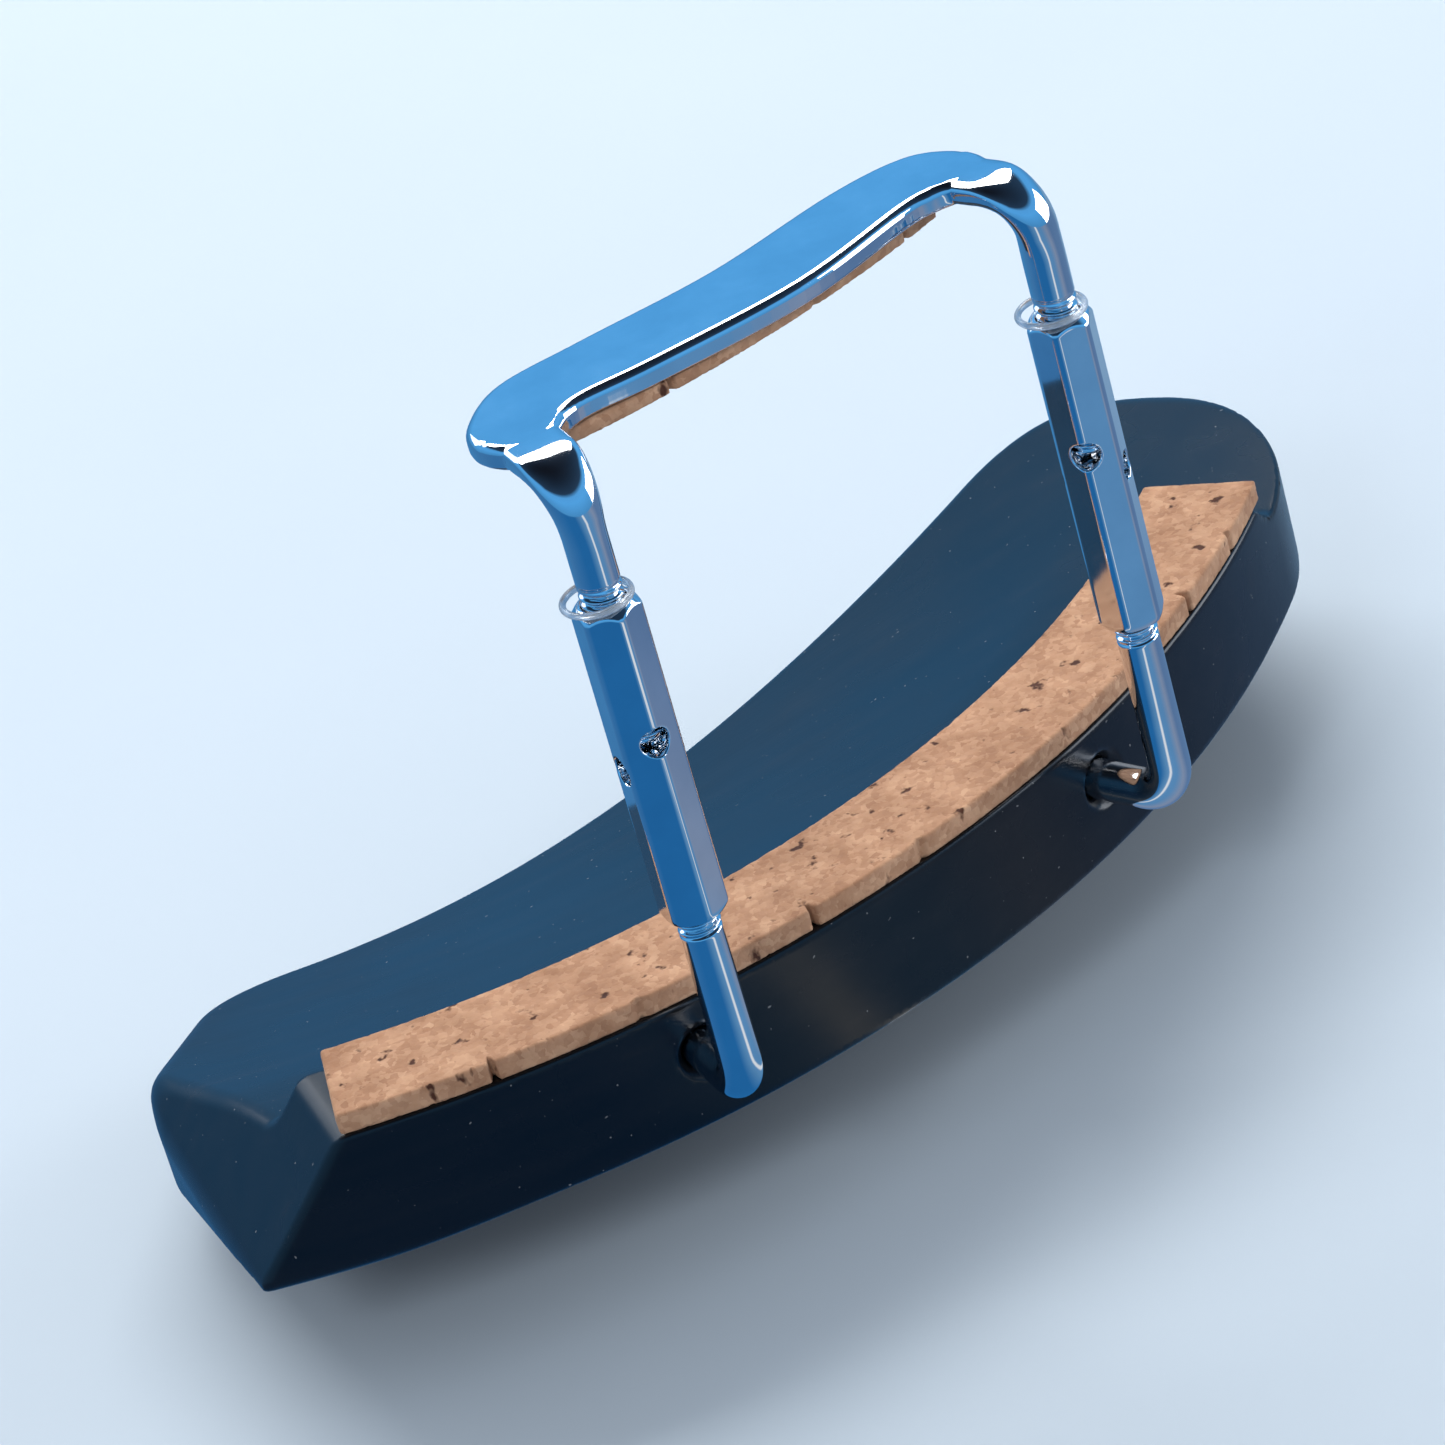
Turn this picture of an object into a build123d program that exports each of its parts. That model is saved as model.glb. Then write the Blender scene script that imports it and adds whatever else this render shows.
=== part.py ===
from build123d import *
from math import cos, pi, radians, sin
import os

# Side-mounted violin chin rest with a twin-barrel clamp, upside down as on a violin that lies face
# down: the chin face is below, the clamp stands on it. Millimetres.
#
# The drafting frame has its Z axis through the centre of the arc that the violin's lower bout makes,
# and z = 0 at the outer rim of the chin face. +X points to the violin's side and +Y to its scroll.
# At the end everything moves so that the origin is at the centre of the underside of the box around it.
# Both threads are ring grooves of the right pitch, standing in plain bores.

# ---- driving dimensions ----
WALL_R = 85.0  # outer wall of the plate, along the violin's edge
WALL_H = 10.5  # outer rim to the top of the foot strip
GRIP = 39.8  # violin between the two corks: ribs and both edges
PLATE_CORK_T = 1.7
BRACKET_CORK_T = 1.1
BRACKET_T = 1.7

POST_R = 91.2  # both posts stand on this arc, outside the violin's edge
LEFT_A = -73.6  # direction of the left post from the arc's centre, degrees
RIGHT_A = -48.5

ROD_R = 1.475
THREAD_R = 1.5
THREAD_ROOT_R = 1.2
THREAD_PITCH = 0.6
ROD_IN_BARREL = 10.4  # thread engaged at each end of a barrel
EXPOSED_THREAD = 1.5

BARREL_L = 24.0
BARREL_Z = 20.6  # lower end
BARREL_VERTEX_R = 2.45
BARREL_BORE_R = 1.55
KEY_HOLE_R = 1.0
KEY_HOLE_DROPS = (9.9, 12.1)  # below the barrel's top, the second at a right angle to the first
LEFT_KEY_A = LEFT_A
RIGHT_KEY_A = -111.0

# ---- levels worked out from them ----
GRIP_BOTTOM = WALL_H + PLATE_CORK_T
GRIP_TOP = GRIP_BOTTOM + GRIP
BRACKET_Z = GRIP_TOP + BRACKET_CORK_T
BARREL_TOP = BARREL_Z + BARREL_L

# ---- plate ----
LEFT_CORNER_A = -96.4
FAR_END_A = -27.0
FAR_END_R = 24.0
RIM_W = 2.5
RIM_ROUND = 1.2
RIDGE_DROP = 11.5  # inner ridge of the chin face below its outer rim
RIDGE_V = 42.0  # distance of the ridge's crest from the wall
DISH_DEPTH = 5.5
DISH_A = (-81.0, -32.0)
RELIEF_SLOPE = 0.345  # the side towards the violin falls away inwards, clear of its arching
RELIEF_Z = 8.2
FOOT_W = 9.2
FOOT_END_A = -27.5
FOOT_ROOT_R = 1.2
INNER_LEFT = (-9.0, -36.0)  # inner edge, from the far end's tangent to the left end
INNER_MIDDLE = (22.0, -26.0)
LEFT_KNEE = (-14.5, -58.0)
INNER_ROUNDS = (9.0, 11.0, 20.0)  # plan roundings at the far end, the inner corner and the knee
PLATE_CORK_ENDS_A = (-90.6, -28.1)
PLATE_CORK_INSET = (0.5, 0.1)  # from the foot strip's inner edge and from the wall
HOLE_DEPTH = 8.0
LEG_HOLE_R = 1.5
LEG_Z = 6.2

# ---- posts ----
POST_BEND_R = 2.7

# ---- ring ----
RING_R = 2.25
RING_WIRE_R = 0.26
RING_SHIFT = 0.38
RING_LIFT = 0.05

# ---- thread form and barrel ends ----
GROOVE = (0.08, 0.27, 0.33, 0.52)  # start, crest start, crest end and end within each pitch
BARREL_FOOT = (1.95, 0.45)  # radius of the lower end's flat and height of its rounding
BARREL_HEAD = (1.8, 0.8)

# ---- bracket ----
LEG_BEND_R = 3.2
LEG_BEND_START_R = POST_R - LEG_BEND_R
LEG_ROOT_HALF_W = 2.25
BRACKET_FAR_R = (77.3, 78.2, 79.0)
BRACKET_NEAR_R = (85.0, 85.9, 85.4)
BRACKET_FAR_ROUND = 6.0
BRACKET_ROOT_ROUND = 1.2
BRACKET_EDGE_ROUND = 0.6
LEG_DRAW_L = 2.4  # below the bend, from the forged section to the round shank
LEG_DRAWN_R = 1.53  # where it ends on the shank
LEG_SECTIONS = (  # turn of the bend from upright, half width, half thickness
    (90, 2.1, 0.79),
    (60, 2.1, 0.95),
    (30, 2.0, 1.2),
    (0, 1.8, 1.4),
)
BRACKET_CORK_INSETS = (0.6, 0.3, 1.2)  # far edge, near edge (mm) and both ends (degrees)

# ---- cutters ----
REACH = 40.0  # beyond anything they cut
CORE_R = 10.0
NEAR = 0.01


def at(r, a, z=0.0):
    """The point at radius r and direction a (degrees) about the arc's centre."""
    return (r * cos(radians(a)), r * sin(radians(a)), z)


# ---------------------------------------------------------------- chin plate
def plate_outline():
    """Plan of the plate: the wall's arc, a round far end, a waisted inner edge and a short left end."""
    left = at(WALL_R, LEFT_CORNER_A)
    right = at(WALL_R, FAR_END_A)
    end_centre = Vector(*at(WALL_R - FAR_END_R, FAR_END_A))
    end_middle = end_centre + Vector(*at(FAR_END_R, 25.0))
    end_tip = end_centre + Vector(*at(FAR_END_R, 72.0))
    wall = ThreePointArc(left, at(WALL_R, (LEFT_CORNER_A + FAR_END_A) / 2), right)
    far_end = ThreePointArc(right, end_middle, end_tip)
    inner = ThreePointArc(end_tip, INNER_MIDDLE, INNER_LEFT)
    left_end = Polyline(INNER_LEFT, LEFT_KNEE, left)
    face = make_face([wall, far_end, inner, left_end])
    for corner, radius in zip((end_tip, INNER_LEFT, LEFT_KNEE), INNER_ROUNDS):
        face = fillet(face.vertices().sort_by_distance(corner)[0], radius=radius)
    return face


def turned(edges):
    """Solid turned about the arc's axis from edges that close around a (radius, height) section."""
    return revolve(make_face([Plane.XZ * edge for edge in edges]), axis=Axis.Z, revolution_arc=360)


def below_chin_face():
    """Everything below the chin face, before it is dished: a narrow rim, a slope and the inner ridge."""
    round_start = (WALL_R - RIM_ROUND, 0)
    round_middle = (WALL_R - RIM_ROUND + RIM_ROUND * cos(pi / 4), RIM_ROUND - RIM_ROUND * sin(pi / 4))
    round_end = (WALL_R, RIM_ROUND)
    ridge_r = WALL_R - RIDGE_V
    outer_r = WALL_R + REACH
    face_line = Polyline(
        (CORE_R, -REACH), (CORE_R, -RIDGE_DROP), (ridge_r, -RIDGE_DROP), (WALL_R - RIM_W, 0), round_start
    )
    outside = Polyline(round_end, (outer_r, RIM_ROUND), (outer_r, -REACH), (CORE_R, -REACH))
    return turned([face_line, ThreePointArc(round_start, round_middle, round_end), outside])


def dish():
    """Hollow for the chin: a round groove along the plate with round ends."""
    rim = Vector(WALL_R - RIM_W, 0)
    ridge = Vector(WALL_R - RIDGE_V, -RIDGE_DROP)
    chord = rim - ridge
    radius = (chord.length ** 2 / 4 + DISH_DEPTH ** 2) / (2 * DISH_DEPTH)
    inward = Vector(-chord.Y, chord.X) * (1 / chord.length)
    centre = (rim + ridge) * 0.5 + inward * (DISH_DEPTH - radius)
    start_a, end_a = DISH_A
    section = Plane.XZ * Pos(centre.X, centre.Y) * Circle(radius)
    groove = Rot(0, 0, start_a) * revolve(section, axis=Axis.Z, revolution_arc=end_a - start_a)
    for a in DISH_A:
        groove = groove + Pos(*at(centre.X, a, centre.Y)) * Sphere(radius)
    return groove


def above_violin_side():
    """Everything above the relieved side that faces the violin's arching."""
    root_r = WALL_R - FOOT_W
    inner_z = RELIEF_Z - RELIEF_SLOPE * (root_r - CORE_R)
    outer_r = WALL_R + REACH
    side = [(CORE_R, inner_z), (root_r, RELIEF_Z), (outer_r, RELIEF_Z)]
    outline = Polyline((CORE_R, REACH), *side, (outer_r, REACH), close=True)
    return turned([outline])


def left_end_cut():
    """Slanted left end: a plane through the rim's corner, leaning in towards the foot strip."""
    corner = Vector(*at(WALL_R, LEFT_CORNER_A))
    along = Vector(-3.0, 14.8, 0.0)
    up = Vector(8.4, 0.2, WALL_H)
    slant = Plane(origin=corner, x_dir=along, z_dir=along.cross(up))
    return slant * Pos(0, 0, -REACH / 2) * Box(5 * REACH, 5 * REACH, REACH)


def leg_hole(a):
    """Blind hole in the wall for a post's leg, drilled towards the arc's centre."""
    mouth_r = WALL_R + LEG_HOLE_R
    length = mouth_r - WALL_R + HOLE_DEPTH
    hole = Pos(mouth_r - length / 2, 0, LEG_Z) * Rot(0, 90, 0) * Cylinder(LEG_HOLE_R, length)
    return Rot(0, 0, a) * hole


def arc_band(inner_r, outer_r, start_a, end_a, z, height):
    """Flat strip between two radii and two directions."""
    middle = (start_a + end_a) / 2
    outer = ThreePointArc(at(outer_r, start_a), at(outer_r, middle), at(outer_r, end_a))
    inner = ThreePointArc(at(inner_r, end_a), at(inner_r, middle), at(inner_r, start_a))
    face = make_face([outer, Line(outer @ 1, inner @ 0), inner, Line(inner @ 1, outer @ 0)])
    return Pos(0, 0, z) * extrude(face, amount=height)


def make_plate():
    plate = Pos(0, 0, -REACH / 2) * extrude(plate_outline(), amount=REACH, dir=(0, 0, 1))
    plate = plate - above_violin_side()
    plate = plate - below_chin_face()
    plate = plate - dish()
    root_r = WALL_R - FOOT_W
    sunk_z = RELIEF_Z - 0.5
    plate = plate + arc_band(root_r, WALL_R, LEFT_CORNER_A, FOOT_END_A, sunk_z, WALL_H - sunk_z)
    plate = plate - left_end_cut()
    arcs = plate.edges().filter_by(GeomType.CIRCLE)
    foot_edges = arcs.filter_by(lambda arc: abs(arc.radius - root_r) < NEAR)
    foot_roots = foot_edges.filter_by(lambda arc: arc.center().Z < RELIEF_Z + NEAR)
    plate = fillet(foot_roots.sort_by(Edge.length)[-1], radius=FOOT_ROOT_R)
    for a in (LEFT_A, RIGHT_A):
        plate = plate - leg_hole(a)
    return plate


def make_plate_cork():
    inner_inset, outer_inset = PLATE_CORK_INSET
    inner_r = WALL_R - FOOT_W + inner_inset
    outer_r = WALL_R - outer_inset
    start_a, end_a = PLATE_CORK_ENDS_A
    return arc_band(inner_r, outer_r, start_a, end_a, WALL_H, PLATE_CORK_T)


# ---------------------------------------------------------------- threaded rods
def threaded_rod(length):
    """Upright rod of the thread's outer size with a ring groove for each pitch, from z = 0 up."""
    groove_start, crest_start, crest_end, groove_end = GROOVE
    points = [(0, 0), (THREAD_ROOT_R, 0)]
    for turn in range(int(length / THREAD_PITCH)):
        z = turn * THREAD_PITCH
        points.append((THREAD_ROOT_R, z + groove_start))
        points.append((THREAD_R, z + crest_start))
        points.append((THREAD_R, z + crest_end))
        points.append((THREAD_ROOT_R, z + groove_end))
    points.append((THREAD_ROOT_R, length))
    points.append((0, length))
    return turned([Polyline(*points, close=True)])


def make_post(a):
    """L-shaped rod: leg in the plate's hole, bend, upright and thread."""
    leg_end_r = WALL_R - HOLE_DEPTH + 0.3
    thread_z = BARREL_Z - EXPOSED_THREAD
    path = FilletPolyline(
        (leg_end_r, 0, LEG_Z), (POST_R, 0, LEG_Z), (POST_R, 0, thread_z), radius=POST_BEND_R
    )
    start = Plane(origin=(leg_end_r, 0, LEG_Z), z_dir=(1, 0, 0))
    rod = sweep(start * Circle(ROD_R), path=path)
    thread = Pos(POST_R, 0, thread_z) * threaded_rod(EXPOSED_THREAD + ROD_IN_BARREL)
    return Rot(0, 0, a) * (rod + thread)


# ---------------------------------------------------------------- barrels and rings
def make_barrel(a, key_a):
    """Hexagonal nut, turned at both ends, bored through, with two crossed key holes."""
    outer_r = BARREL_VERTEX_R + 0.05
    foot_r, foot_h = BARREL_FOOT
    head_r, head_h = BARREL_HEAD
    side = [(foot_r, 0), (outer_r, foot_h), (outer_r, BARREL_L - head_h), (head_r, BARREL_L)]
    outline = Polyline((0, 0), *side, (0, BARREL_L), close=True)
    barrel = extrude(RegularPolygon(BARREL_VERTEX_R, 6), amount=BARREL_L) & turned([outline])
    barrel = barrel - Pos(0, 0, BARREL_L / 2) * Cylinder(BARREL_BORE_R, 2 * BARREL_L)
    for turn, drop in enumerate(KEY_HOLE_DROPS):
        hole = Rot(0, 90, 0) * Cylinder(KEY_HOLE_R, 4 * BARREL_VERTEX_R)
        barrel = barrel - Pos(0, 0, BARREL_L - drop) * Rot(0, 0, 90 * turn) * hole
    return Pos(*at(POST_R, a, BARREL_Z)) * Rot(0, 0, key_a) * barrel


def make_ring(a):
    """Loose ring on the barrel's top, slid to one side of the thread."""
    x, y, z = at(POST_R, a, BARREL_TOP + RING_WIRE_R + RING_LIFT)
    return Pos(x - RING_SHIFT, y, z) * Torus(RING_R, RING_WIRE_R)


# ---------------------------------------------------------------- bracket
def bracket_outline():
    """Plan of the foot: a band along the violin's edge with a short root for each leg."""
    half_a = LEG_ROOT_HALF_W / radians(1.0) / LEG_BEND_START_R
    left_a = LEFT_A - half_a
    right_a = RIGHT_A + half_a
    middle = (LEFT_A + RIGHT_A) / 2
    root_r = LEG_BEND_START_R + 0.4
    left_far, middle_far, right_far = BRACKET_FAR_R
    left_near, middle_near, right_near = BRACKET_NEAR_R
    far = ThreePointArc(at(left_far, left_a), at(middle_far, middle), at(right_far, right_a))
    near = ThreePointArc(
        at(right_near, RIGHT_A - half_a), at(middle_near, middle), at(left_near, LEFT_A + half_a)
    )
    right_root = Polyline(far @ 1, at(root_r, right_a), at(root_r, RIGHT_A - half_a), near @ 0)
    left_root = Polyline(near @ 1, at(root_r, LEFT_A + half_a), at(root_r, left_a), far @ 0)
    face = make_face([far, right_root, near, left_root])
    for corner in (far @ 0, far @ 1):
        face = fillet(face.vertices().sort_by_distance(corner)[0], radius=BRACKET_FAR_ROUND)
    for corner in (near @ 0, near @ 1):
        face = fillet(face.vertices().sort_by_distance(corner)[0], radius=BRACKET_ROOT_ROUND)
    return face


def bracket_leg(a):
    """Forged leg: flat at its root, bent down and drawn to a round, threaded rod."""
    centre_z = BRACKET_Z + BRACKET_T / 2
    sections = []
    for turn, half_w, half_t in LEG_SECTIONS:
        x = LEG_BEND_START_R + LEG_BEND_R * cos(radians(turn))
        z = centre_z - LEG_BEND_R + LEG_BEND_R * sin(radians(turn))
        normal = (sin(radians(turn)), 0, -cos(radians(turn)))
        sections.append(Plane(origin=(x, 0, z), x_dir=(0, 1, 0), z_dir=normal) * Ellipse(half_w, half_t))
    round_z = centre_z - LEG_BEND_R - LEG_DRAW_L
    end = Plane(origin=(POST_R, 0, round_z), x_dir=(0, 1, 0), z_dir=(0, 0, -1))
    sections.append(end * Ellipse(LEG_DRAWN_R + NEAR, LEG_DRAWN_R))
    thread_z = BARREL_TOP + EXPOSED_THREAD
    shank_top = round_z + LEG_DRAW_L / 2
    shank = Pos(POST_R, 0, (thread_z + shank_top) / 2) * Cylinder(ROD_R, shank_top - thread_z)
    thread_l = EXPOSED_THREAD + ROD_IN_BARREL
    thread = Pos(POST_R, 0, thread_z - thread_l) * threaded_rod(thread_l)
    return Rot(0, 0, a) * (loft(sections) + shank + thread)


def make_bracket():
    foot = Pos(0, 0, BRACKET_Z) * extrude(bracket_outline(), amount=BRACKET_T)
    foot = fillet(foot.faces().sort_by(Axis.Z)[-1].edges(), radius=BRACKET_EDGE_ROUND)
    return foot + bracket_leg(LEFT_A) + bracket_leg(RIGHT_A)


def make_bracket_cork():
    far_inset, near_inset, end_inset_a = BRACKET_CORK_INSETS
    far_r = max(BRACKET_FAR_R) + far_inset
    near_r = min(BRACKET_NEAR_R) - near_inset
    return arc_band(far_r, near_r, LEFT_A + end_inset_a, RIGHT_A - end_inset_a, GRIP_TOP, BRACKET_CORK_T)


# ---------------------------------------------------------------- assembly
parts = {
    "chin_plate": make_plate(),
    "plate_cork": make_plate_cork(),
    "left_post": make_post(LEFT_A),
    "right_post": make_post(RIGHT_A),
    "left_barrel": make_barrel(LEFT_A, LEFT_KEY_A),
    "right_barrel": make_barrel(RIGHT_A, RIGHT_KEY_A),
    "left_ring": make_ring(LEFT_A),
    "right_ring": make_ring(RIGHT_A),
    "bracket": make_bracket(),
    "bracket_cork": make_bracket_cork(),
}

box = Compound(children=[Compound(part.solids()) for part in parts.values()]).bounding_box()
middle = (box.min + box.max) / 2
os.makedirs("parts", exist_ok=True)
for node, part in parts.items():
    export_step(Pos(-middle.X, -middle.Y, -box.min.Z) * part, f"parts/{node}.step")
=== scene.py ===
from math import cos, hypot, pi, radians, sin, sqrt

import bpy
import numpy as np
from mathutils import Matrix, Vector, noise


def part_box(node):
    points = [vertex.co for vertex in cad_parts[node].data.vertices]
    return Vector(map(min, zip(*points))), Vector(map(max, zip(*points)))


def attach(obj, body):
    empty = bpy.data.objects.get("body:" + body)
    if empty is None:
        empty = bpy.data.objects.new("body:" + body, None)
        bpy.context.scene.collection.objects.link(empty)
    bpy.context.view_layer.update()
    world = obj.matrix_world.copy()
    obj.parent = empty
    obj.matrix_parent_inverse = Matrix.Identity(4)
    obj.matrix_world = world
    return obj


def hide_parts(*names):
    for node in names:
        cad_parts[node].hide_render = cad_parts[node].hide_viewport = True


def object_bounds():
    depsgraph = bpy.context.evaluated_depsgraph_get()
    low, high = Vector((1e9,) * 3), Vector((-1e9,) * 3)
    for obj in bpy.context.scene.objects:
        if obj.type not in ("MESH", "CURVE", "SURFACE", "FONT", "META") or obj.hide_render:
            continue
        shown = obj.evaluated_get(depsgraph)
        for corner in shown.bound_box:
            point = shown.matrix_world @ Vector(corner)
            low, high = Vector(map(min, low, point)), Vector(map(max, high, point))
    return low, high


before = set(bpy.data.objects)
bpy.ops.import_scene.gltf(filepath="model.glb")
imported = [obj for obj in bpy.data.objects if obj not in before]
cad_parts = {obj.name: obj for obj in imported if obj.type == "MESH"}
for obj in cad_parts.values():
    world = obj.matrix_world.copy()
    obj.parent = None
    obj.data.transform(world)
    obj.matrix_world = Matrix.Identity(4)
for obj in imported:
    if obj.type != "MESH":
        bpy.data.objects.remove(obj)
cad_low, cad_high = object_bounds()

# A violin chin rest with its clamp, upside down as on a violin that lies face down.
# Shapes are signed distance fields, in millimetres, in the drafting frame of the CAD part: the Z axis runs
# through the centre of the arc of the violin's lower bout, and z = 0 is the outer rim of the chin face.

# ---------------------------------------------------------------- sizes shared with the CAD part
# Millimetres and degrees. _R is a radius or a distance from the arc's axis, _A a direction about it and _Z a
# height.
MM = 0.001

# chin plate: its wall and rim; the chin face, which falls to a ridge and has a dish between two directions; the
# relief and the foot strip under the cork, on its other side; and its ends and inner edge in plan
WALL_R = 85.0
WALL_H = 10.5
RIM_W = 2.5
RIDGE_DROP = 11.5
RIDGE_V = 42.0
DISH_DEPTH = 5.5
DISH_A = (-81.0, -32.0)
RELIEF_SLOPE = 0.345
RELIEF_Z = 8.2
FOOT_R = 75.8
FOOT_END_A = -27.5
LEFT_CORNER_A = -96.4
FAR_END_A = -27.0
FAR_END_R = 24.0
END_TIP_A = 72.0
INNER_LEFT = np.array([-9.0, -36.0])
INNER_MIDDLE = np.array([22.0, -26.0])
LEFT_KNEE = np.array([-14.5, -58.0])
END_TIP_ROUND = 11.9
INNER_CORNER_ROUND = 11.0
KNEE_ROUND = 20.0

# posts, barrels and rings
POST_R = 91.2
LEFT_A = -73.6
RIGHT_A = -48.5
RING_SHIFT = 0.38
RING_R = 2.25
RING_WIRE_R = 0.26
LEG_Z = 6.2
HOLE_R = 1.5
HOLE_END_R = 77.0
ROD_R = 1.475
THREAD_R = 1.5
THREAD_ROOT_R = 1.2
THREAD_PITCH = 0.6
POST_BEND_R = 2.7
BARREL_Z = 20.6
BARREL_L = 24.0
BARREL_FLAT_R = 2.1218
BARREL_BEVEL_R = 2.34
BARREL_BORE_R = 1.55
KEY_HOLE_R = 1.0
KEY_HOLE_DROPS = (9.9, 12.1)
ROD_IN_BARREL = 10.4
EXPOSED_THREAD = 1.5
BARREL_TOP = BARREL_Z + BARREL_L

# how far each barrel is turned about its own axis at rest
LEFT_KEY_A = LEFT_A
RIGHT_KEY_A = -111.0

# cork strips: inner and outer radius, first and last direction, low and high z
PLATE_CORK = (76.3, 84.9, -90.6, -28.1, 10.5, 12.2)
BRACKET_CORK = (79.6, 84.7, -72.4, -49.7, 52.0, 53.1)

# bracket: its foot's underside and thickness, and its two legs
BRACKET_Z = 53.1
BRACKET_T = 1.7
LEG_BEND_R = 3.2
LEG_HALF_W = 2.15
LEG_START_R = POST_R - LEG_BEND_R
LEG_CENTRE_Z = BRACKET_Z + BRACKET_T / 2


def polar(r, a):
    """The point at distance r from the arc's axis in direction a."""
    return np.array([r * cos(radians(a)), r * sin(radians(a))])


# The step from the drafting frame to the part's own, from where the CAD part has its left ring and barrel.
ring_low, ring_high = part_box("left_ring")
barrel_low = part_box("left_barrel")[0]
ring_xy = (np.array(ring_low) + np.array(ring_high))[:2] / 2 / MM
centre_xy = ring_xy - polar(POST_R, LEFT_A) + np.array([RING_SHIFT, 0.0])
SHIFT = np.array([centre_xy[0], centre_xy[1], barrel_low[2] / MM - BARREL_Z])


# ---------------------------------------------------------------- distance fields
def both(a, b, k, c=0.0):
    """Where a and b overlap, with the edge rounded to radius k. c is the cosine between their normals."""
    u, v = a + k, b + k
    corner = np.sqrt(np.maximum(u * u + v * v - 2 * c * u * v, 0) / (1 - c * c))
    return np.where((u > c * v) & (v > c * u), corner, np.maximum(u, v)) - k


def either(a, b, k):
    """Where a or b is, with a fillet of radius k between them."""
    return np.maximum(np.minimum(a, b), k) - np.hypot(np.maximum(k - a, 0), np.maximum(k - b, 0))


def ramp(t):
    """Smooth step from 0 at t = 0 to 1 at t = 1."""
    t = np.clip(t, 0, 1)
    return t * t * (3 - 2 * t)


def beyond(x, y, a):
    """Distance past the radial line in direction a, positive towards larger angles."""
    return -x * sin(radians(a)) + y * cos(radians(a))


def curve_through(points, parts):
    """Points on a smooth closed curve through the given ones, with so many parts to each span."""
    pts = np.array(points, float)
    count = len(pts)
    out = []
    for i in range(count):
        p0, p1, p2, p3 = pts[i - 1], pts[i], pts[(i + 1) % count], pts[(i + 2) % count]
        for part in range(parts):
            t = part / parts
            straight = 2 * p1 + (p2 - p0) * t
            bent = (2 * p0 - 5 * p1 + 4 * p2 - p3) * t ** 2 + (3 * p1 - p0 - 3 * p2 + p3) * t ** 3
            out.append(0.5 * (straight + bent))
    return np.array(out)


PLAN_MARGIN = 8
# cells kept from the grid's end, so that a point always has a neighbour past it
INSIDE_LAST_CELL = 1.001


def plan_field(outline, cell):
    """Signed distance from a closed outline, as a function of x and y, from a grid of exact values."""
    low = outline.min(0) - PLAN_MARGIN
    counts = np.ceil((outline.max(0) + PLAN_MARGIN - low) / cell).astype(int) + 1
    grid_x = low[0] + cell * np.arange(counts[0])
    grid_y = low[1] + cell * np.arange(counts[1])
    gx, gy = np.meshgrid(grid_x, grid_y, indexing="ij")
    best = np.full(gx.shape, np.inf)
    inside = np.zeros(gx.shape, bool)
    for p, q in zip(outline, np.roll(outline, -1, 0)):
        d = q - p
        t = np.clip(((gx - p[0]) * d[0] + (gy - p[1]) * d[1]) / (d @ d), 0, 1)
        best = np.minimum(best, (gx - p[0] - t * d[0]) ** 2 + (gy - p[1] - t * d[1]) ** 2)
        if p[1] != q[1]:
            crosses = (p[1] > gy) != (q[1] > gy)
            inside ^= crosses & (gx < (q[0] - p[0]) * (gy - p[1]) / (q[1] - p[1]) + p[0])
    grid = np.where(inside, -np.sqrt(best), np.sqrt(best))

    def field(x, y):
        u = np.clip((x - low[0]) / cell, 0, counts[0] - INSIDE_LAST_CELL)
        v = np.clip((y - low[1]) / cell, 0, counts[1] - INSIDE_LAST_CELL)
        i, j = u.astype(int), v.astype(int)
        fu, fv = u - i, v - j
        near = grid[i, j] * (1 - fv) + grid[i, j + 1] * fv
        far = grid[i + 1, j] * (1 - fv) + grid[i + 1, j + 1] * fv
        return near * (1 - fu) + far * fu

    return field


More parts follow.
